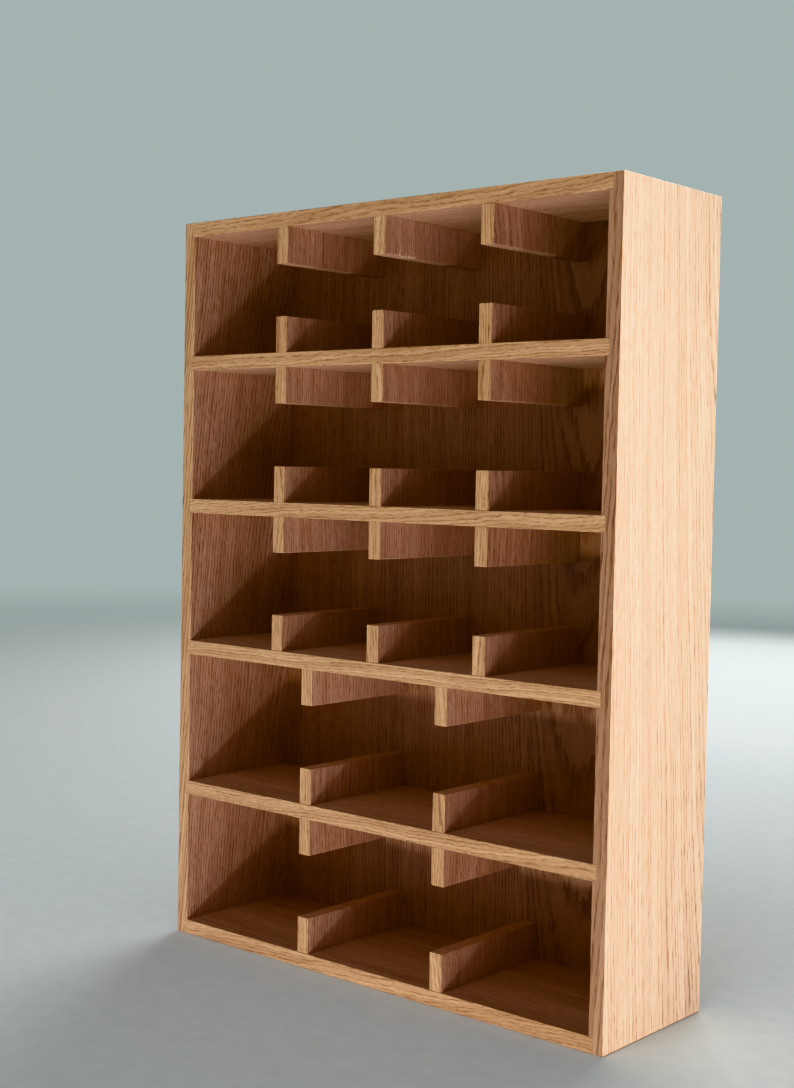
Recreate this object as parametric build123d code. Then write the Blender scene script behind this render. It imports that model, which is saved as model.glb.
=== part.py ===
from build123d import *
import os

# Wall-hung open oak cabinet for hobby paint bottles: two full-height sides,
# top and bottom panels, four shelves let into the sides, a plywood back and
# short stub dividers above and below every row.  Millimetres, +Z up.
# Origin: middle of the outer footprint, on the underside.
# The open front faces -Y, the wall is on +Y, left and right are -X and +X.

# ------------------------------------------------------------ driving sizes
WIDTH = 467.0            # outside, left to right
HEIGHT = 647.0           # outside, bottom to top
DEPTH = 139.7            # outside, front to wall
BOARD = 12.7             # every solid board, dividers included
DADO = 3.5               # how far shelves and end panels enter the sides

SHELF_TOPS = (527.5, 398.8, 270.1, 141.4)   # top faces of shelves 1 to 4
CLEAR_DEPTH = 127.0      # front edge to the face of the back panel

BACK_T = 6.35            # plywood back panel
REBATE_W = 6.0           # rear rebate in the carcase that takes the back
RAIL_T = DEPTH - CLEAR_DEPTH - BACK_T       # hanging rail fills the recess
RAIL_H = 40.0
RAIL_GAP = 12.0          # the rail stops either side of each keyhole, which
                         # leaves room behind the plate for a screw head

STUB_H = 31.0            # height of a divider stub
COLUMNS = {1: 4, 2: 4, 3: 4, 4: 3, 5: 3}    # cells in each row, from the top

PLATE_W, PLATE_H, PLATE_T = 50.0, 24.0, 2.0 # keyhole hanger plate
PLATE_CORNER = 6.0
PLATE_SPACING = 320.0    # between the two keyholes
ENTRY_R = 4.5            # round entry of the keyhole
SLOT_R = 2.3             # half the width of its slot
ENTRY_DROP, SLOT_RISE = 4.0, 5.0            # from the plate's middle
PLATE_SCREW_X = 18.0     # screws either side of the keyhole
SCREW_R, SCREW_HEAD_R, SCREW_HEAD_H = 1.7, 3.4, 1.7
SCREW_L, SCREW_TIP = 12.0, 3.0
CROSS_W, CROSS_L, CROSS_D = 0.9, 3.4, 1.1   # cross recess

BRAD_R, BRAD_HEAD_R, BRAD_HEAD_H, BRAD_L = 0.6, 1.0, 0.5, 19.0
BRAD_TIP = 1.2

# ------------------------------------------------------------ derived levels
XO = WIDTH / 2                       # outer face of a side
XI = XO - BOARD                      # inner face of a side
XD = XI + DADO                       # end of a shelf inside its housing
XR = XI + REBATE_W                   # edge of the rear rebate
YF = -DEPTH / 2                      # front edges
YB = YF + CLEAR_DEPTH                # face of the back panel
YP = YB + BACK_T                     # rear of the back panel
YW = DEPTH / 2                       # wall plane
ZR0 = BOARD - REBATE_W               # rebate in the bottom panel
ZR1 = HEIGHT - BOARD + REBATE_W      # rebate in the top panel
RAIL_Z0 = ZR1 - RAIL_H
PLATE_Z = (RAIL_Z0 + ZR1) / 2
ENTRY_Z = PLATE_Z - ENTRY_DROP
SLOT_Z = PLATE_Z + SLOT_RISE

os.makedirs("parts", exist_ok=True)


def block(x0, x1, y0, y1, z0, z1):
    """Rectangular solid between two corners."""
    return Pos((x0 + x1) / 2, (y0 + y1) / 2, (z0 + z1) / 2) * Box(
        x1 - x0, y1 - y0, z1 - z0)


def turned(x, y, z, profile):
    """Solid of revolution about a line through (x, z) that runs along Y.
    profile is (radius, distance in from y towards -Y) pairs."""
    pts = [(0, 0)] + [(r, -d) for r, d in profile] + [(0, -profile[-1][1])]
    clean = []
    for p in pts:
        if not clean or abs(p[0] - clean[-1][0]) + abs(p[1] - clean[-1][1]) > 1e-9:
            clean.append(p)
    face = make_face(Polyline(*clean, close=True))
    return Pos(x, y, z) * revolve(face, Axis.Y, 360)


def along_y(sketch, x, z, y0, y1):
    """A sketch drawn in X and Z, made solid from y0 to y1."""
    plane = Plane(origin=(x, y1, z), x_dir=(1, 0, 0), z_dir=(0, -1, 0))
    return extrude(plane * sketch, amount=y1 - y0)


# ------------------------------------------------------------ fasteners
# Brads hold the back panel: in the side rebates, in the end panels' rebates
# and in the rear edges of the shelves.
bay_z = []
levels = [HEIGHT - BOARD] + [v for s in SHELF_TOPS for v in (s, s - BOARD)] + [BOARD]
for i in range(5):
    bay_z.append((levels[2 * i + 1], levels[2 * i]))      # floor, ceiling

side_brads = [(s * (XI + REBATE_W / 2), (lo + hi) / 2)
              for s in (-1, 1) for lo, hi in bay_z]
end_brads = [(x, z) for z in (ZR0 + REBATE_W / 2, ZR1 - REBATE_W / 2)
             for x in (-150.0, 0.0, 150.0)]
shelf_brads = [(x, s - BOARD / 2) for s in SHELF_TOPS for x in (-110.0, 110.0)]


def brad(x, z):
    return turned(x, YP, z, [
        (BRAD_HEAD_R, 0), (BRAD_HEAD_R, BRAD_HEAD_H), (BRAD_R, BRAD_HEAD_H),
        (BRAD_R, BRAD_L - BRAD_TIP), (0, BRAD_L)])


brads = {p: brad(*p) for p in side_brads + end_brads + shelf_brads}


def screw_body(x, z):
    return turned(x, YW, z, [
        (SCREW_HEAD_R, 0), (SCREW_R, SCREW_HEAD_H),
        (SCREW_R, SCREW_L - SCREW_TIP), (0, SCREW_L)])


screw_points = [(s * PLATE_SPACING / 2 + d * PLATE_SCREW_X, PLATE_Z)
                for s in (-1, 1) for d in (-1, 1)]
screw_blanks = {p: screw_body(*p) for p in screw_points}


def drilled(solid, blanks):
    for b in blanks:
        solid = solid - b
    return solid


# ------------------------------------------------------------ carcase
def side(s):
    """Full-height side.  s is -1 on the left, +1 on the right."""
    a, b = sorted((s * XI, s * XO))
    solid = block(a, b, YF, YW, 0, HEIGHT)

    def inner(depth, y0, y1, z0, z1):
        lo, hi = sorted((s * (XI - 1), s * (XI + depth)))
        return block(lo, hi, y0, y1, z0, z1)

    for top in SHELF_TOPS:                                   # shelf housings
        solid = solid - inner(DADO, YF - 1, YB, top - BOARD, top)
    solid = solid - inner(DADO, YF - 1, YW + 1, -1, BOARD)   # end panels
    solid = solid - inner(DADO, YF - 1, YW + 1, HEIGHT - BOARD, HEIGHT + 1)
    solid = solid - inner(REBATE_W, YB, YW + 1, ZR0, ZR1)    # back panel
    return drilled(solid, [brads[p] for p in side_brads if p[0] * s > 0])


def end_panel(z0, rebate_z0, rebate_z1, fasteners):
    """Top or bottom panel, with the rear rebate along its inner face."""
    solid = block(-XD, XD, YF, YW, z0, z0 + BOARD)
    solid = solid - block(-XD - 1, XD + 1, YB, YW + 1, rebate_z0, rebate_z1)
    return drilled(solid, fasteners)


side_left = side(-1)
side_right = side(1)
bottom_panel = end_panel(0, ZR0, BOARD + 1,
                         [brads[p] for p in end_brads if p[1] < HEIGHT / 2])
top_panel = end_panel(HEIGHT - BOARD, HEIGHT - BOARD - 1, ZR1,
                      [brads[p] for p in end_brads if p[1] > HEIGHT / 2])

shelves = []
for top in SHELF_TOPS:
    blank = block(-XD, XD, YF, YB, top - BOARD, top)
    shelves.append(drilled(
        blank, [brads[p] for p in shelf_brads if abs(p[1] - top + BOARD / 2) < 1]))

back_panel = drilled(block(-XR, XR, YB, YP, ZR0, ZR1),
                     list(brads.values()) + list(screw_blanks.values()))

# ------------------------------------------------------------ wall hanging
plate_x = [s * PLATE_SPACING / 2 for s in (-1, 1)]
rail_ends = [-XR, plate_x[0] - RAIL_GAP / 2, plate_x[0] + RAIL_GAP / 2,
             plate_x[1] - RAIL_GAP / 2, plate_x[1] + RAIL_GAP / 2, XR]
rails = [block(rail_ends[i], rail_ends[i + 1], YP, YW, RAIL_Z0, ZR1)
         for i in (0, 2, 4)]
plates = []
for x in plate_x:
    outline = RectangleRounded(PLATE_W, PLATE_H, PLATE_CORNER)
    near = [i for i in range(3) if rail_ends[2 * i] < x + PLATE_W / 2
            and rail_ends[2 * i + 1] > x - PLATE_W / 2]
    for i in near:
        rails[i] = rails[i] - along_y(outline, x, PLATE_Z, YW - PLATE_T, YW + 1)
    run = ENTRY_DROP + SLOT_RISE
    middle = PLATE_Z + (SLOT_RISE - ENTRY_DROP) / 2
    plate = along_y(outline, x, PLATE_Z, YW - PLATE_T, YW)
    plate = plate - along_y(Circle(ENTRY_R), x, ENTRY_Z, YW - PLATE_T - 1, YW + 1)
    slot = SlotOverall(run + 2 * SLOT_R, 2 * SLOT_R, rotation=90)
    plate = plate - along_y(slot, x, middle, YW - PLATE_T - 1, YW + 1)
    plate = drilled(plate, [b for p, b in screw_blanks.items()
                            if abs(p[0] - x) < PLATE_W / 2])
    plates.append(plate)
for i in range(3):
    rails[i] = drilled(rails[i], [
        b for p, b in screw_blanks.items()
        if rail_ends[2 * i] < p[0] < rail_ends[2 * i + 1]])

plate_screws = []
for (x, z), blank in screw_blanks.items():
    for w, h in ((CROSS_L, CROSS_W), (CROSS_W, CROSS_L)):
        blank = blank - block(x - w / 2, x + w / 2, YW - CROSS_D, YW + 1,
                              z - h / 2, z + h / 2)
    plate_screws.append(blank)

# ------------------------------------------------------------ dividers
dividers = {}
for row, cells in COLUMNS.items():
    floor, ceiling = bay_z[row - 1]
    pitch = 2 * XI / cells
    for k in range(1, cells):
        x = -XI + k * pitch
        x0, x1 = x - BOARD / 2, x + BOARD / 2
        dividers[f"divider_row{row}_upper_{k}"] = block(
            x0, x1, YF, YB, ceiling - STUB_H, ceiling)
        dividers[f"divider_row{row}_lower_{k}"] = block(
            x0, x1, YF, YB, floor, floor + STUB_H)

# ------------------------------------------------------------ write
nodes = {
    "side_left": side_left,
    "side_right": side_right,
    "top_panel": top_panel,
    "bottom_panel": bottom_panel,
    "back_panel": back_panel,
    "hanging_rail_left": rails[0],
    "hanging_rail_middle": rails[1],
    "hanging_rail_right": rails[2],
    "keyhole_plate_left": plates[0],
    "keyhole_plate_right": plates[1],
    "keyhole_plate_screws": Compound(children=plate_screws),
    "back_panel_brads": Compound(children=list(brads.values())),
}
for n, shelf in enumerate(shelves, 1):
    nodes[f"shelf_{n}"] = shelf
nodes.update(dividers)

for name, shape in nodes.items():
    export_step(shape, f"parts/{name}.step")
print(len(nodes), "nodes written")
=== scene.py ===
"""Open oak wall rack for paint bottles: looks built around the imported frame.
Metres, +X right, +Y to the wall, +Z up; the rack stands on z = 0."""
import math
import random

import bmesh
import bpy
from mathutils import Matrix, Vector, noise


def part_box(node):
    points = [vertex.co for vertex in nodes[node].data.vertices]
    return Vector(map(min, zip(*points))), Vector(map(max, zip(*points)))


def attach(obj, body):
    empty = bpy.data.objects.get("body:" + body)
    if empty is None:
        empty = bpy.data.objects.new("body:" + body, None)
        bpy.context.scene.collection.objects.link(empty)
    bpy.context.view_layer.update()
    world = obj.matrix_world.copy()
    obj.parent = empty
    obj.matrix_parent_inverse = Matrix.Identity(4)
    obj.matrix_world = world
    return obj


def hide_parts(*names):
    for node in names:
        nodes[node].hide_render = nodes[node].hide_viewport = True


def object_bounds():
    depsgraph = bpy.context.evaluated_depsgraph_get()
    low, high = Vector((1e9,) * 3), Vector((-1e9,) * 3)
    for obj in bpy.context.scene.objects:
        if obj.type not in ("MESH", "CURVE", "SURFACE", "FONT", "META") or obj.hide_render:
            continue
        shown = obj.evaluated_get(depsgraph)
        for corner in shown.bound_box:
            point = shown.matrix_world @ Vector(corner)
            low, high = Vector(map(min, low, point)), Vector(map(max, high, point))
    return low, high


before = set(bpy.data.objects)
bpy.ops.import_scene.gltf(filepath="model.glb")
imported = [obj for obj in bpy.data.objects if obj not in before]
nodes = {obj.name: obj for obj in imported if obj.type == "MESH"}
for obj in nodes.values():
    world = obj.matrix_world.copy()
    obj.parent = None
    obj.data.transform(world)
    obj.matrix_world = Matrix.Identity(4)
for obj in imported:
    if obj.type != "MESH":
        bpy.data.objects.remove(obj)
cad_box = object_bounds()
MM = 0.001


# ------------------------------------------------------------------ helpers
def mm_box(node):
    lo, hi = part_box(node)
    return [v / MM for v in lo], [v / MM for v in hi]


def wob(x, seed, scale=0.02):
    """Smooth value in about -1..1 along a length in mm, the same each run."""
    return noise.noise(Vector((x * scale, seed * 7.31 + 0.5, seed * 1.77))) * 1.8


def section(v0, v1, w0, w1, radii, seg):
    """Rounded rectangle, anticlockwise from the corner (v0, w0).
    radii: one for each corner (v0w0, v1w0, v1w1, v0w1)."""
    out = []
    spec = ((v0, w0, 1, 1, 180), (v1, w0, -1, 1, 270),
            (v1, w1, -1, -1, 0), (v0, w1, 1, -1, 90))
    for (cv, cw, sv, sw, a0), r in zip(spec, radii):
        for k in range(seg + 1):
            a = math.radians(a0 + 90.0 * k / seg)
            out.append((cv + sv * r + r * math.cos(a), cw + sw * r + r * math.sin(a)))
    return out


PLACE = {"x": lambda u, v, w: (u, v, w),       # v is Y, w is Z
         "y": lambda u, v, w: (-v, u, w),      # v is -X, w is Z
         "z": lambda u, v, w: (v, w, u)}       # v is X, w is Y


def board_mesh(bm, axis, lo, hi, radii, end=(0.3, 0.3), seed=0, step=18.0, seg=3,
               vary=0.35, extra=(), chips=None, warp=0.0):
    """One board with eased arrises, swept along its long axis (mm).
    radii are the arris radii at (v0w0, v1w0, v1w1, v0w1); end is the easing at
    the two ends; chips(u) gives extra radius for each corner."""
    if axis == "x":
        u0, u1, v0, v1, w0, w1 = lo[0], hi[0], lo[1], hi[1], lo[2], hi[2]
    elif axis == "y":
        u0, u1, v0, v1, w0, w1 = lo[1], hi[1], -hi[0], -lo[0], lo[2], hi[2]
    else:
        u0, u1, v0, v1, w0, w1 = lo[2], hi[2], lo[0], hi[0], lo[1], hi[1]
    stations = []
    n = max(2, int((u1 - u0) / step))
    inner = [u0 + end[0] + (u1 - u0 - end[0] - end[1]) * i / n for i in range(n + 1)]
    inner = sorted(set(inner + [e for e in extra if u0 + end[0] < e < u1 - end[1]]))
    for k in range(3):
        a = math.radians(30.0 * k)
        stations.append((u0 + end[0] * (1 - math.sin(a)), end[0] * (1 - math.cos(a))))
    stations = [(u0 + end[0] * (1 - math.sin(math.radians(90 - 30 * k))),
                 end[0] * (1 - math.cos(math.radians(90 - 30 * k)))) for k in range(3)]
    stations += [(u, 0.0) for u in inner]
    stations += [(u1 - end[1] * (1 - math.sin(math.radians(30 * k))),
                  end[1] * (1 - math.cos(math.radians(30 * k)))) for k in range(1, 4)]
    place = PLACE[axis]
    rings = []
    for u, inset in stations:
        rr = []
        for c, r in enumerate(radii):
            r2 = r * (1 + vary * wob(u, seed + c * 3.1)) + (chips(u, c) if chips else 0)
            rr.append(max(0.05, r2 - inset * 0.5))
        pts = section(v0 + inset, v1 - inset, w0 + inset, w1 - inset, rr, seg)
        rings.append([bm.verts.new(tuple(q * MM for q in place(u, v, w)))
                      for v, w in pts])
    m = len(rings[0])
    for a, b in zip(rings, rings[1:]):
        for i in range(m):
            j = (i + 1) % m
            bm.faces.new((a[i], a[j], b[j], b[i]))
    bm.faces.new(list(reversed(rings[0])))
    bm.faces.new(rings[-1])
    return bm


def finish_mesh(bm, name, mats, smooth=35.0):
    bmesh.ops.recalc_face_normals(bm, faces=bm.faces)
    me = bpy.data.meshes.new(name)
    bm.to_mesh(me)
    bm.free()
    for p in me.polygons:
        p.use_smooth = True
    me.set_sharp_from_angle(angle=math.radians(smooth))
    ob = bpy.data.objects.new(name, me)
    bpy.context.scene.collection.objects.link(ob)
    for m in mats:
        me.materials.append(m)
    wn = ob.modifiers.new("normals", "WEIGHTED_NORMAL")
    wn.keep_sharp = True
    wn.weight = 80
    return ob


def cut(ob, boxes, name="cutter"):
    """Exact difference of an object's mesh with plain boxes (mm)."""
    bm = bmesh.new()
    for lo, hi in boxes:
        m = Matrix.Translation([(a + b) / 2 * MM for a, b in zip(lo, hi)])
        s = Matrix.Diagonal([(b - a) * MM for a, b in zip(lo, hi)] + [1])
        bmesh.ops.create_cube(bm, size=1.0, matrix=m @ s)
    me = bpy.data.meshes.new(name)
    bm.to_mesh(me)
    bm.free()
    co = bpy.data.objects.new(name, me)
    bpy.context.scene.collection.objects.link(co)
    mod = ob.modifiers.new("cut", "BOOLEAN")
    mod.operation, mod.solver, mod.object = "DIFFERENCE", "EXACT", co
    # the cut comes before the normals
    while ob.modifiers[0] != mod:
        with bpy.context.temp_override(object=ob):
            bpy.ops.object.modifier_move_up(modifier=mod.name)
    bpy.context.view_layer.update()
    wn = ob.modifiers.get("normals")
    if wn:
        wn.show_viewport = False
    dg = bpy.context.evaluated_depsgraph_get()
    new = bpy.data.meshes.new_from_object(ob.evaluated_get(dg))
    old = ob.data
    ob.modifiers.remove(mod)
    ob.data = new
    new.name = old.name
    bpy.data.meshes.remove(old)
    bpy.data.objects.remove(co)
    bpy.data.meshes.remove(me)
    if wn:
        wn.show_viewport = True
    return ob


# ------------------------------------------------------------------ oak
class Tree:
    """Short names for shader nodes."""

    def __init__(self, tree):
        self.t = tree

    def put(self, socket, value):
        if isinstance(value, bpy.types.NodeSocket):
            self.t.links.new(value, socket)
        elif value is not None:
            socket.default_value = value

    def math(self, op, a, b=None, c=None, clamp=False):
        n = self.t.nodes.new("ShaderNodeMath")
        n.operation, n.use_clamp = op, clamp
        for i, v in enumerate((a, b, c)):
            self.put(n.inputs[i], v)
        return n.outputs[0]

    def vmath(self, op, a, b=None, scale=None):
        n = self.t.nodes.new("ShaderNodeVectorMath")
        n.operation = op
        self.put(n.inputs[0], a)
        self.put(n.inputs[1], b)
        if scale is not None:
            self.put(n.inputs["Scale"], scale)
        return n.outputs["Value"] if op in ("LENGTH", "DOT_PRODUCT", "DISTANCE") else n.outputs[0]

    def xyz(self, v):
        n = self.t.nodes.new("ShaderNodeSeparateXYZ")
        self.put(n.inputs[0], v)
        return n.outputs

    def vec(self, x, y, z):
        n = self.t.nodes.new("ShaderNodeCombineXYZ")
        for i, v in enumerate((x, y, z)):
            self.put(n.inputs[i], v)
        return n.outputs[0]

    def noise(self, v, detail=2.0, rough=0.5, dims="3D", w=None, distort=0.0):
        n = self.t.nodes.new("ShaderNodeTexNoise")
        n.noise_dimensions = dims
        if dims != "1D":
            self.put(n.inputs["Vector"], v)
        if w is not None:
            self.put(n.inputs["W"], w)
        n.inputs["Scale"].default_value = 1.0
        n.inputs["Detail"].default_value = detail
        n.inputs["Roughness"].default_value = rough
        n.inputs["Distortion"].default_value = distort
        return n.outputs

    def voronoi(self, v, random=1.0):
        n = self.t.nodes.new("ShaderNodeTexVoronoi")
        n.feature = "F1"
        self.put(n.inputs["Vector"], v)
        n.inputs["Scale"].default_value = 1.0
        n.inputs["Randomness"].default_value = random
        return n.outputs

    def white(self, w):
        n = self.t.nodes.new("ShaderNodeTexWhiteNoise")
        n.noise_dimensions = "1D"
        self.put(n.inputs["W"], w)
        return n.outputs

    def step(self, v, a, b, lo=0.0, hi=1.0):
        n = self.t.nodes.new("ShaderNodeMapRange")
        n.interpolation_type = "SMOOTHSTEP"
        for s, q in zip(("Value", "From Min", "From Max", "To Min", "To Max"), (v, a, b, lo, hi)):
            self.put(n.inputs[s], q)
        return n.outputs[0]

    def mix(self, f, a, b, mode="MIX"):
        n = self.t.nodes.new("ShaderNodeMix")
        n.data_type, n.blend_type = "RGBA", mode
        self.put(n.inputs[0], f)
        self.put(n.inputs[6], a)
        self.put(n.inputs[7], b)
        return n.outputs[2]

    def ramp(self, f, stops):
        n = self.t.nodes.new("ShaderNodeValToRGB")
        e = n.color_ramp.elements
        while len(e) < len(stops):
            e.new(0.5)
        for el, (p, c) in zip(e, stops):
            el.position, el.color = p, (*c, 1.0)
        self.put(n.inputs[0], f)
        return n.outputs[0]


def oak_group():
    """Solid red oak.  Vector in mm, X along the grain, pith on the X axis."""
    g = bpy.data.node_groups.new("red_oak", "ShaderNodeTree")
    for nm, kind, dv in (("Vector", "NodeSocketVector", None), ("Spacing", "NodeSocketFloat", 2.4),
                         ("Seed", "NodeSocketFloat", 0.0), ("Tone", "NodeSocketFloat", 0.0),
                         ("Pores", "NodeSocketFloat", 1.0), ("Rays", "NodeSocketFloat", 1.0)):
        s = g.interface.new_socket(nm, in_out="INPUT", socket_type=kind)
        if dv is not None:
            s.default_value = dv
    for nm, kind in (("Color", "NodeSocketColor"), ("Roughness", "NodeSocketFloat"),
                     ("Height", "NodeSocketFloat")):
        g.interface.new_socket(nm, in_out="OUTPUT", socket_type=kind)
    i = g.nodes.new("NodeGroupInput").outputs
    o = g.nodes.new("NodeGroupOutput").inputs
    T = Tree(g)
    x, y, z = T.xyz(i["Vector"])
    sd = i["Seed"]
    xs = T.math("ADD", x, T.math("MULTIPLY", sd, 613.0))
    # slow wander of the grain, then a finer wiggle
    n1 = T.xyz(T.noise(T.vec(T.math("MULTIPLY", xs, 0.0045), T.math("MULTIPLY", y, 0.016),
                             T.math("MULTIPLY", z, 0.016)), detail=1.5)[1])
    n2 = T.xyz(T.noise(T.vec(T.math("MULTIPLY", xs, 0.045), T.math("MULTIPLY", y, 0.16),
                             T.math("MULTIPLY", z, 0.16)), detail=2.0)[1])

    def shift(c, a, b):
        return T.math("ADD", c, T.math("ADD", T.math("MULTIPLY", T.math("SUBTRACT", a, 0.5), 8.0),
                                       T.math("MULTIPLY", T.math("SUBTRACT", b, 0.5), 2.0)))
    y1, z1 = shift(y, n1[0], n2[0]), shift(z, n1[1], n2[1])
    r = T.math("SQRT", T.math("ADD", T.math("MULTIPLY", y1, y1), T.math("MULTIPLY", z1, z1)))
    q = T.math("DIVIDE", r, i["Spacing"])
    wide = T.noise(None, detail=1.0, dims="1D", w=T.math("ADD", T.math("MULTIPLY", q, 0.17), sd))[0]
    t = T.math("ADD", q, T.math("MULTIPLY", wide, 2.2))
    f, idx = T.math("FRACT", t), T.math("FLOOR", t)
    ring = T.white(T.math("ADD", idx, T.math("MULTIPLY", sd, 31.7)))[0]
    early = T.math("MULTIPLY", T.step(f, 0.0, 0.05), T.step(f, 0.20, 0.52, 1.0, 0.0))
    late = T.step(f, 0.45, 0.98)
    # vessels of the early wood: long thin tubes, and the fine ones of late wood
    v1 = T.voronoi(T.vec(T.math("MULTIPLY", xs, 1 / 17.0), T.math("MULTIPLY", y1, 1 / 0.85),
                         T.math("MULTIPLY", z1, 1 / 0.85)))[0]
    v2 = T.voronoi(T.vec(T.math("MULTIPLY", xs, 1 / 6.0), T.math("MULTIPLY", y1, 1 / 0.36),
                         T.math("MULTIPLY", z1, 1 / 0.36)))[0]
    patch = T.noise(T.vec(T.math("MULTIPLY", xs, 0.05), T.math("MULTIPLY", y1, 0.55),
                          T.math("MULTIPLY", z1, 0.55)), detail=1.5)[0]
    broken = T.step(patch, 0.34, 0.60, 0.25, 1.0)
    pore = T.math("MULTIPLY", T.step(v1, 0.30, 0.50, 1.0, 0.0), early)
    pore = T.math("MULTIPLY", pore, broken)
    fine = T.math("MULTIPLY", T.step(v2, 0.10, 0.26, 1.0, 0.0), T.step(f, 0.3, 0.7, 0.15, 0.6))
    # rays: thin plates that stand out from the pith
    ang = T.math("ARCTAN2", z1, y1)
    v3 = T.voronoi(T.vec(T.math("MULTIPLY", xs, 1 / 16.0), T.math("MULTIPLY", ang, 150.0),
                         T.math("MULTIPLY", r, 1 / 30.0)))[0]
    ray = T.step(v3, 0.16, 0.34, 1.0, 0.0)
    # colour streaks that follow the fibres
    s1 = T.noise(T.vec(T.math("MULTIPLY", xs, 0.022), T.math("MULTIPLY", y1, 0.85),
                       T.math("MULTIPLY", z1, 0.85)), detail=3.0, rough=0.6)[0]
    s2 = T.noise(T.vec(T.math("MULTIPLY", xs, 0.0035), T.math("MULTIPLY", y1, 0.085),
                       T.math("MULTIPLY", z1, 0.085)), detail=2.0)[0]
    s3 = T.noise(T.vec(T.math("MULTIPLY", xs, 0.15), T.math("MULTIPLY", y1, 2.0),
                       T.math("MULTIPLY", z1, 2.0)), detail=3.0, rough=0.6)[0]

    def centred(a, k):
        return T.math("MULTIPLY", T.math("SUBTRACT", a, 0.5), k)
    v = T.math("ADD", 0.60, centred(s1, 0.55))
    v = T.math("ADD", v, centred(s2, 0.45))
    v = T.math("ADD", v, centred(s3, 0.50))
    v = T.math("ADD", v, centred(ring, 0.20))
    v = T.math("SUBTRACT", v, T.math("MULTIPLY", late, 0.05))
    v = T.math("SUBTRACT", v, T.math("MULTIPLY", T.math("MULTIPLY", T.math("MULTIPLY", early, broken), i["Pores"]), 0.42))
    v = T.math("ADD", v, i["Tone"])
    base = T.ramp(v, ((0.0, (0.205, 0.092, 0.048)), (0.34, (0.340, 0.180, 0.104)),
                      (0.62, (0.462, 0.274, 0.173)), (1.0, (0.610, 0.405, 0.282))))
    dark = T.mix(1.0, base, (0.40, 0.27, 0.19, 1.0), "MULTIPLY")
    c = T.mix(T.math("MULTIPLY", T.math("MULTIPLY", pore, 0.80), i["Pores"], clamp=True), base, dark)
    c = T.mix(T.math("MULTIPLY", T.math("MULTIPLY", fine, 0.35), i["Pores"], clamp=True), c, dark)
    rosy = T.mix(1.0, c, (0.66, 0.48, 0.40, 1.0), "MULTIPLY")
    c = T.mix(T.math("MULTIPLY", T.math("MULTIPLY", ray, 0.5), i["Rays"], clamp=True), c, rosy)
    T.put(o["Color"], c)
    rough = T.math("ADD", 0.47, centred(s2, 0.22))
    rough = T.math("ADD", rough, T.math("MULTIPLY", pore, 0.25))
    rough = T.math("ADD", rough, centred(s3, 0.10))
    T.put(o["Roughness"], T.math("SUBTRACT", rough, T.math("MULTIPLY", late, 0.05), clamp=True))
    h = T.math("SUBTRACT", T.math("MULTIPLY", late, 0.12), pore)
    h = T.math("SUBTRACT", h, T.math("MULTIPLY", fine, 0.25))
    h = T.math("ADD", h, centred(s3, 0.35))
    T.put(o["Height"], h)
    return g


OAK = oak_group()
COUNT = [0]
FRONT_FACE_PAINTED_LIGHT = (1.12, 1.12, 0.86)      # painted light: the front faces painted lighter and yellower than the other faces, where the front lamps fall


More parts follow.
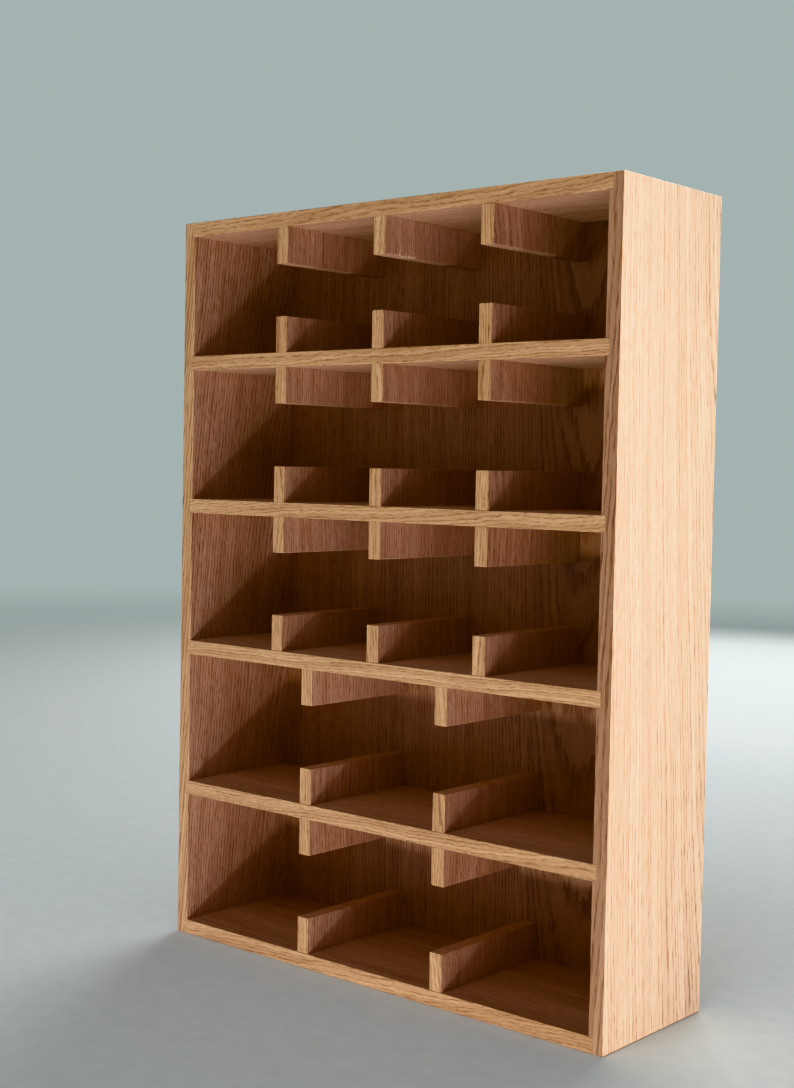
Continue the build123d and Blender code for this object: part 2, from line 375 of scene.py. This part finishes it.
def oak(name, grain, pith, spacing=2.4, tone=0.0, tilt=(0.0, 0.0), staves=None, pores=1.0,
        rays=1.0, painted_shade_tint=None, coat=0.05, centre=(0, 0, 0), front=None, seam=(0.12, 0.45),
        dash=1.0):
    """Oak for one board.  pith: where the heart lies from the board's middle, across
    the grain, in mm.  tilt: how far the fibres run out, per mm of length.  dash: above 1
    for shorter pores and streaks."""
    COUNT[0] += 1
    seed = COUNT[0] * 1.37
    m = bpy.data.materials.new(name)
    m.use_nodes = True
    t = m.node_tree
    T = Tree(t)
    bsdf = t.nodes["Principled BSDF"]
    tc = t.nodes.new("ShaderNodeTexCoord").outputs["Object"]
    P = T.vmath("SUBTRACT", T.vmath("SCALE", tc, scale=1000.0), tuple(centre))
    x, y, z = T.xyz(P)
    a, b, c = {"x": (x, y, z), "z": (z, x, y), "y": (y, x, z)}[grain]
    b = T.math("ADD", b, T.math("MULTIPLY", a, tilt[0]))
    c = T.math("ADD", c, T.math("MULTIPLY", a, tilt[1]))
    tone_in = tone
    seed_in = seed
    if staves:
        axis, width, phase, spread = staves
        s = {"x": x, "y": y, "z": z}[axis]
        k = T.math("ADD", T.math("DIVIDE", s, width), phase)
        idx = T.math("FLOOR", k)
        rnd = T.white(T.math("ADD", idx, seed))
        rc = T.xyz(rnd[1])
        tone_in = T.math("ADD", tone, T.math("MULTIPLY", T.math("SUBTRACT", rc[0], 0.5), spread))
        seed_in = T.math("ADD", seed, T.math("MULTIPLY", idx, 0.73))
        b = T.math("ADD", b, T.math("MULTIPLY", T.math("SUBTRACT", rc[1], 0.5), 60.0))
        c = T.math("ADD", c, T.math("MULTIPLY", T.math("SUBTRACT", rc[2], 0.5), 60.0))
    v = T.vec(T.math("MULTIPLY", a, dash), T.math("SUBTRACT", b, pith[0]), T.math("SUBTRACT", c, pith[1]))
    n = t.nodes.new("ShaderNodeGroup")
    n.node_tree = OAK
    T.put(n.inputs["Vector"], v)
    T.put(n.inputs["Spacing"], spacing)
    T.put(n.inputs["Seed"], seed_in)
    T.put(n.inputs["Tone"], tone_in)
    T.put(n.inputs["Pores"], pores)
    T.put(n.inputs["Rays"], rays)
    col = n.outputs["Color"]
    # painted shade: a colour multiplied over the whole board
    if painted_shade_tint:
        col = T.mix(1.0, col, (*painted_shade_tint, 1.0), "MULTIPLY")
    if staves:   # a hairline where two staves meet
        fr = T.math("FRACT", k)
        near = T.math("MULTIPLY", T.math("MINIMUM", fr, T.math("SUBTRACT", 1.0, fr)), width)
        line = T.step(near, seam[0], seam[1], 0.6, 0.0)
        col = T.mix(line, col, T.mix(1.0, col, (0.35, 0.25, 0.2, 1.0), "MULTIPLY"))
    if front:    # painted light: the front face gets a tint of its own, lighter where the front lamps fall (darker, painted shade, on the right side)
        fy = T.xyz(T.vmath("SCALE", tc, scale=1000.0))[1]
        # mask of the front 0.15 to 0.45 mm of the board, where the painted light or painted shade goes
        front_face_light_mask = T.step(fy, front[0] + 0.15, front[0] + 0.45, 1.0, 0.0)
        col = T.mix(front_face_light_mask, col, T.mix(1.0, col, (*front[1], 1.0), "MULTIPLY"))
    T.put(bsdf.inputs["Base Color"], col)
    T.put(bsdf.inputs["Roughness"], n.outputs["Roughness"])
    bump = t.nodes.new("ShaderNodeBump")
    bump.inputs["Strength"].default_value = 0.45
    bump.inputs["Distance"].default_value = 0.00012
    T.put(bump.inputs["Height"], n.outputs["Height"])
    T.put(bsdf.inputs["Normal"], bump.outputs[0])
    bsdf.inputs["Coat Weight"].default_value = coat
    bsdf.inputs["Coat Roughness"].default_value = 0.32
    bsdf.inputs["Specular IOR Level"].default_value = 0.32
    return m


def steel(name, tone, rough, scale=1.0):
    """Plated or bright steel with fine drawn lines and a little staining."""
    m = bpy.data.materials.new(name)
    m.use_nodes = True
    t = m.node_tree
    T = Tree(t)
    bsdf = t.nodes["Principled BSDF"]
    tc = t.nodes.new("ShaderNodeTexCoord").outputs["Object"]
    x, y, z = T.xyz(T.vmath("SCALE", tc, scale=1000.0))
    lines = T.noise(T.vec(T.math("MULTIPLY", x, 0.25 * scale), T.math("MULTIPLY", y, 4.0), T.math("MULTIPLY", z, 6.0)), detail=3.0)[0]
    cloud = T.noise(T.vec(T.math("MULTIPLY", x, 0.18), T.math("MULTIPLY", y, 0.18), T.math("MULTIPLY", z, 0.18)), detail=4.0)[0]
    v = T.math("ADD", T.math("MULTIPLY", lines, 0.35), T.math("MULTIPLY", cloud, 0.65))
    col = T.ramp(v, ((0.25, tuple(q * 0.72 for q in tone)), (0.55, tone), (0.8, tuple(min(1, q * 1.12) for q in tone))))
    T.put(bsdf.inputs["Base Color"], col)
    bsdf.inputs["Metallic"].default_value = 1.0
    T.put(bsdf.inputs["Roughness"], T.step(v, 0.25, 0.75, rough + 0.14, rough - 0.06))
    bump = t.nodes.new("ShaderNodeBump")
    bump.inputs["Strength"].default_value = 0.25
    bump.inputs["Distance"].default_value = 0.00005
    T.put(bump.inputs["Height"], lines)
    T.put(bsdf.inputs["Normal"], bump.outputs[0])
    return m


# ------------------------------------------------------------------ boards
def stand_for(ob, node):
    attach(ob, "root")
    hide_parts(node)
    return ob


W0, W1 = cad_box[0][0] / MM, cad_box[1][0] / MM
Y0, Y1 = cad_box[0][1] / MM, cad_box[1][1] / MM
H = cad_box[1][2] / MM
shelf_boxes = [mm_box(f"shelf_{k}") for k in range(1, 5)]
top_box, bottom_box = mm_box("top_panel"), mm_box("bottom_panel")
back_box = mm_box("back_panel")

# sides ---------------------------------------------------------------
for nm, sx in (("side_left", -1), ("side_right", 1)):
    lo, hi = mm_box(nm)
    bm = bmesh.new()
    # corners of the section: (x0,y0) (x1,y0) (x1,y1) (x0,y1)
    radii = (0.45, 0.9, 0.4, 0.5) if sx < 0 else (0.4, 0.35, 0.5, 0.4)
    board_mesh(bm, "z", lo, hi, radii, end=(0.7, 0.7), seed=3 + sx, step=16.0)
    if sx < 0:
        mat = oak("oak_side_left", "z", (140, 150), spacing=2.5, tone=0.0, tilt=(-0.12, 0.006),
                  centre=(lo[0], 0, 0), front=(Y0, FRONT_FACE_PAINTED_LIGHT))
    else:
        # painted light: tone 0.08 paints the right side lighter where the side lamp falls; its front face tint is
        # painted shade
        mat = oak("oak_side_right", "z", (-150, 130), spacing=2.8, tone=0.08, tilt=(-0.06, -0.004),
                  centre=(hi[0], 0, 0), front=(Y0, (0.76, 0.71, 0.60)))
    ob = finish_mesh(bm, nm + "_board", [mat])
    xi = hi[0] if sx < 0 else lo[0]
    cuts = []

    def notch(depth, y0, y1, z0, z1):
        a, b = sorted((xi - sx * 2, xi + sx * depth))
        cuts.append(((a, y0, z0), (b, y1, z1)))
    dado = abs(shelf_boxes[0][1][0]) - abs(xi)
    for slo, shi in shelf_boxes:
        notch(dado, Y0 - 2, back_box[0][1], slo[2], shi[2])
    cut(ob, cuts)
    cuts = []
    notch(dado, Y0 - 2, Y1 + 2, -2, bottom_box[1][2])
    notch(dado, Y0 - 2, Y1 + 2, top_box[0][2], H + 2)
    cut(ob, cuts)
    cuts = []
    notch(abs(back_box[1][0]) - abs(xi), back_box[0][1], Y1 + 2, back_box[0][2], back_box[1][2])
    cut(ob, cuts)
    ob.data.set_sharp_from_angle(angle=math.radians(35))
    stand_for(ob, nm)

# end panels, each of two staves ---------------------------------------
for nm, (lo, hi), piths, tones in (
        ("top_panel", top_box, ((120, 110), (90, -140)), (0.02, -0.03)),
        ("bottom_panel", bottom_box, ((110, -120), (-90, 130)), (-0.06, -0.06))):
    seam = Y0 + (74.0 if nm == "top_panel" else 70.0)
    bm = bmesh.new()
    board_mesh(bm, "x", lo, [hi[0], seam, hi[2]], (0.55, 0.18, 0.18, 0.55), end=(0.25, 0.25),
               seed=11.0, step=17.0)
    nfront = len(bm.faces)
    board_mesh(bm, "x", [lo[0], seam, lo[2]], hi, (0.18, 0.5, 0.5, 0.18), end=(0.25, 0.25),
               seed=12.0, step=17.0)
    bm.faces.ensure_lookup_table()
    for k, face in enumerate(bm.faces):
        face.material_index = 0 if k < nfront else 1
    mats = [oak(f"oak_{nm}_{tag}", "x", piths[k], spacing=(1.8, 2.4)[k], tone=tones[k],
                tilt=(0.008, -0.06), centre=(0, seam, lo[2]), dash=(1.9, 1.3)[k],
                pores=(0.7, 0.9)[k], front=(Y0, FRONT_FACE_PAINTED_LIGHT))
            for k, tag in enumerate(("front", "rear"))]
    ob = finish_mesh(bm, nm + "_board", mats)
    if nm == "top_panel":
        boxes = [((lo[0] - 3, back_box[0][1], lo[2] - 3), (hi[0] + 3, Y1 + 3, back_box[1][2]))]
    else:
        boxes = [((lo[0] - 3, back_box[0][1], back_box[0][2]), (hi[0] + 3, Y1 + 3, hi[2] + 3))]
    cut(ob, boxes)
    ob.data.set_sharp_from_angle(angle=math.radians(35))
    stand_for(ob, nm)

# shelves -----------------------------------------------------------------
shelf_spec = (((90, 120), 1.8, 0.02, (0.012, -0.05)), ((110, -130), 1.9, 0.00, (-0.009, -0.07)),
              ((80, 140), 1.7, 0.05, (0.014, -0.04)), ((100, -120), 1.8, 0.02, (-0.012, -0.06)))
for k, (lo, hi) in enumerate(shelf_boxes):
    pith, spacing, tone, tilt = shelf_spec[k]
    bm = bmesh.new()
    board_mesh(bm, "x", lo, hi, (0.55, 0.1, 0.1, 0.55), end=(0.2, 0.2), seed=20.0 + k, step=15.0)
    mat = oak(f"oak_shelf_{k + 1}", "x", pith, spacing=spacing, tone=tone, tilt=tilt,
              centre=(0, 0, lo[2]), dash=1.9, pores=0.7, front=(Y0, FRONT_FACE_PAINTED_LIGHT))
    stand_for(finish_mesh(bm, f"shelf_{k + 1}_board", [mat]), f"shelf_{k + 1}")

# dividers ----------------------------------------------------------------
rng = random.Random(41)
# stubs glued up from two staves, with the glue line across their depth
GLUED = {"divider_row1_upper_1": ("y", 200.0, 1.095, 0.10),
         "divider_row4_lower_1": ("y", 200.0, 1.0625, 0.10)}
for nm in sorted(n for n in nodes if n.startswith("divider_")):
    lo, hi = mm_box(nm)
    upper = "_upper_" in nm
    shrink = 0.05 + 0.22 * rng.random()          # front edge a hair back from flush
    lo2, hi2 = list(lo), list(hi)
    lo2[1] += shrink
    lo2[0] += 0.12 * rng.random()
    hi2[0] -= 0.12 * rng.random()
    free = 0.55 + 0.25 * rng.random()
    held = 0.30
    # corners of the section, v = -X, w = Z: (x1,z0) (x0,z0) (x0,z1) (x1,z1)
    radii = (free, free, held, held) if upper else (held, held, free, free)
    chips = None
    extra = ()
    if nm == "divider_row1_upper_2":
        # saw tear-out along the lower right arris, from the front edge back
        marks = [(lo[1] + 3.5 + 4.4 * j, 0.22) for j in range(3)]
        marks += [(lo[1] + 18.5 + 3.9 * j + 0.8 * rng.random(), 0.60 + 0.40 * rng.random()) for j in range(6)]
        extra = [q + d for q, _ in marks for d in (-1.0, -0.5, 0.0, 0.5, 1.0)]

        def chips(u, c, marks=marks):
            if c != 0:
                return 0.0
            return sum(s * 5.0 * max(0.0, 1 - abs(u - q) / 1.0) for q, s in marks)
    bm = bmesh.new()
    board_mesh(bm, "y", lo2, hi2, radii, end=(0.5, 0.12), seed=40 + rng.random() * 30, step=13.0,
               extra=extra, chips=chips)
    pith = (rng.choice((-1, 1)) * rng.uniform(70, 150), rng.choice((-1, 1)) * rng.uniform(90, 190))
    mat = oak("oak_" + nm, "z", pith, spacing=rng.uniform(1.8, 2.7), tone=rng.uniform(-0.06, 0.08),
              tilt=(rng.uniform(-0.10, 0.10), rng.uniform(-0.03, 0.03)),
              centre=((lo[0] + hi[0]) / 2, (lo[1] + hi[1]) / 2, lo[2]),
              staves=GLUED.get(nm), seam=(0.45, 1.0), dash=1.6,
              pores=0.75, front=(Y0 + 0.25, FRONT_FACE_PAINTED_LIGHT))
    stand_for(finish_mesh(bm, nm + "_stub", [mat]), nm)

# back panel ---------------------------------------------------------------
# the warm tint is painted shade of the deep bays; tone -0.20 makes the whole panel darker
back_mat_with_painted_shade = oak("oak_back_panel", "z", (150, 120), spacing=2.8, tone=-0.20, tilt=(0.004, 0.05),
               staves=("x", 112.0, 0.37, 0.20), pores=0.9, painted_shade_tint=(0.94, 0.86, 0.80),
               centre=(0, back_box[0][1], 0))
nodes["back_panel"].data.materials.clear()
nodes["back_panel"].data.materials.append(back_mat_with_painted_shade)

# rails, plates, screws, brads ---------------------------------------------
for k, nm in enumerate(("hanging_rail_left", "hanging_rail_middle", "hanging_rail_right")):
    o = nodes[nm]
    lo, hi = mm_box(nm)
    o.data.materials.clear()
    o.data.materials.append(oak("oak_" + nm, "x", (40 + 30 * k, -120), spacing=2.5, tone=-0.02 + 0.02 * k,
                                tilt=(0.01, 0.004), centre=((lo[0] + hi[0]) / 2, lo[1], lo[2])))
    b = o.modifiers.new("ease", "BEVEL")
    b.width, b.segments, b.limit_method, b.angle_limit = 0.0004, 2, "ANGLE", math.radians(50)
zinc = steel("zinc_plate", (0.56, 0.56, 0.52), 0.34)
bright = steel("bright_wire", (0.50, 0.49, 0.47), 0.30, scale=3.0)
for nm in ("keyhole_plate_left", "keyhole_plate_right", "keyhole_plate_screws"):
    nodes[nm].data.materials.clear()
    nodes[nm].data.materials.append(zinc)
    b = nodes[nm].modifiers.new("ease", "BEVEL")
    b.width, b.segments, b.limit_method, b.angle_limit = 0.00025, 2, "ANGLE", math.radians(40)
nodes["back_panel_brads"].data.materials.clear()
nodes["back_panel_brads"].data.materials.append(bright)

# ------------------------------------------------------------------ stage
def sweep(name):
    """Pale floor that melts into the backdrop far from the object."""
    m = bpy.data.materials.new(name)
    m.use_nodes = True
    t = m.node_tree
    T = Tree(t)
    b = t.nodes["Principled BSDF"]
    b.inputs["Roughness"].default_value = 0.85
    b.inputs["Specular IOR Level"].default_value = 0.15
    tc = t.nodes.new("ShaderNodeTexCoord").outputs["Object"]
    speck = T.noise(T.vmath("SCALE", tc, scale=60.0), detail=4.0)[0]
    T.put(b.inputs["Base Color"], T.ramp(speck, ((0.3, (0.555, 0.60, 0.59)), (0.7, (0.595, 0.635, 0.625)))))
    glow = t.nodes.new("ShaderNodeEmission")
    glow.inputs["Color"].default_value = (*BACKDROP, 1)
    mix = t.nodes.new("ShaderNodeMixShader")
    T.put(mix.inputs[0], T.step(T.vmath("LENGTH", tc), 1.2, 4.5))
    T.put(mix.inputs[1], b.outputs[0])
    T.put(mix.inputs[2], glow.outputs[0])
    T.put(t.nodes["Material Output"].inputs["Surface"], mix.outputs[0])
    return m


BACKDROP = (0.410, 0.485, 0.475)
bm = bmesh.new()
bmesh.ops.create_circle(bm, cap_ends=True, radius=30.0, segments=96,
                        matrix=Matrix.Translation((0, 0, -0.0004)))
me = bpy.data.meshes.new("floor")
bm.to_mesh(me)
bm.free()
floor = bpy.data.objects.new("floor", me)
bpy.context.scene.collection.objects.link(floor)
me.materials.append(sweep("pale_floor"))

world = bpy.data.worlds.new("studio")
bpy.context.scene.world = world
world.use_nodes = True
bg = world.node_tree.nodes["Background"]
bg.inputs["Color"].default_value = (*BACKDROP, 1)
bg.inputs["Strength"].default_value = 1.0
world.cycles_visibility.diffuse = False
bpy.context.scene.view_settings.view_transform = "Khronos PBR Neutral"

only_floor = bpy.data.collections.new("only_floor")
only_floor.objects.link(floor)
no_floor = bpy.data.collections.new("no_floor")
no_floor.objects.link(floor)
no_floor.collection_objects[0].light_linking.link_state = "EXCLUDE"


def area(name, loc, target, size, power, color, size_y=None, through=True):
    """Soft box.  through: the floor doesn't stand in its way."""
    l = bpy.data.lights.new(name, "AREA")
    l.shape = "RECTANGLE" if size_y else "SQUARE"
    l.size = size
    if size_y:
        l.size_y = size_y
    l.energy = power
    l.color = color
    ob = bpy.data.objects.new(name, l)
    bpy.context.scene.collection.objects.link(ob)
    ob.location = loc
    d = Vector(target) - Vector(loc)
    ob.rotation_euler = d.to_track_quat("-Z", "Y").to_euler()
    ob.visible_camera = False
    if through:
        ob.light_linking.blocker_collection = no_floor
    return ob


def soft_spot(name, loc, target, radius, cone, power, color):
    """Round lamp whose light thins out all the way to the edge of its cone."""
    l = bpy.data.lights.new(name, "SPOT")
    l.shadow_soft_size, l.spot_size, l.spot_blend = radius, cone, 1.0
    l.energy, l.color = power, color
    ob = bpy.data.objects.new(name, l)
    bpy.context.scene.collection.objects.link(ob)
    ob.location = loc
    ob.rotation_euler = (Vector(target) - Vector(loc)).to_track_quat("-Z", "Y").to_euler()
    ob.visible_camera = False
    ob.light_linking.blocker_collection = no_floor
    return ob


centre = Vector((0, 0, 0.32))
area("key", (0.453, -1.678, -0.904), (0, -0.02, 0.32), 0.11, 22.0, (0.90, 0.96, 0.96))
side = soft_spot("side_light", (2.2, 0.4, 2.0), (0.2335, -0.30, 0.313), 0.15, 0.434, 1700.0, (0.80, 0.98, 1.0))
side.light_linking.receiver_collection = no_floor
area("front_fill", (0.3, -3.2, 0.6), centre, 2.4, 5.5, (1.0, 0.78, 0.62))
area("below", (0.9, -1.4, -2.2), centre, 1.6, 43.0, (1.0, 0.915, 0.886))
area("above", (0.2, -1.6, 2.8), centre, 1.6, 24.0, (0.804, 0.833, 1.0), through=False)
area("left_low", (-2.2, -1.8, -0.8), centre, 1.6, 9.0, (0.822, 0.789, 1.0))
low = area("right_low", (2.4, -1.3, -0.5), centre, 1.2, 22.0, (0.96, 0.773, 1.0))
low.light_linking.receiver_collection = no_floor
area("left_front", (-2.6, -1.5, 0.4), centre, 1.4, 2.9, (1.0, 1.0, 0.966))
wash = area("floor_wash", (0.3, -0.4, 3.2), (0, 0, 0), 3.0, 42.8, (0.968, 1.0, 0.968), through=False)
wash.light_linking.receiver_collection = only_floor
back = area("back_fill", (-0.8, 2.6, 1.4), centre, 2.0, 80, (1.0, 1.0, 1.0), through=False)

# ------------------------------------------------------------------ camera
cam = bpy.data.cameras.new("camera")
cam.sensor_fit = "VERTICAL"
cam.sensor_height = 36.0
cam.lens = 53.6008
cam.clip_start = 0.05
camo = bpy.data.objects.new("camera", cam)
bpy.context.scene.collection.objects.link(camo)
right, down, fwd = (Vector(v) for v in ((0.75802, 0.65197, 0.0186), (0.04535, -0.02423, -0.99868),
                                        (-0.65066, 0.75786, -0.04794)))
rot = Matrix((right, -down, -fwd)).transposed().to_4x4()
camo.matrix_world = Matrix.Translation((0.87759, -1.06276, 0.43167)) @ rot
bpy.context.scene.camera = camo
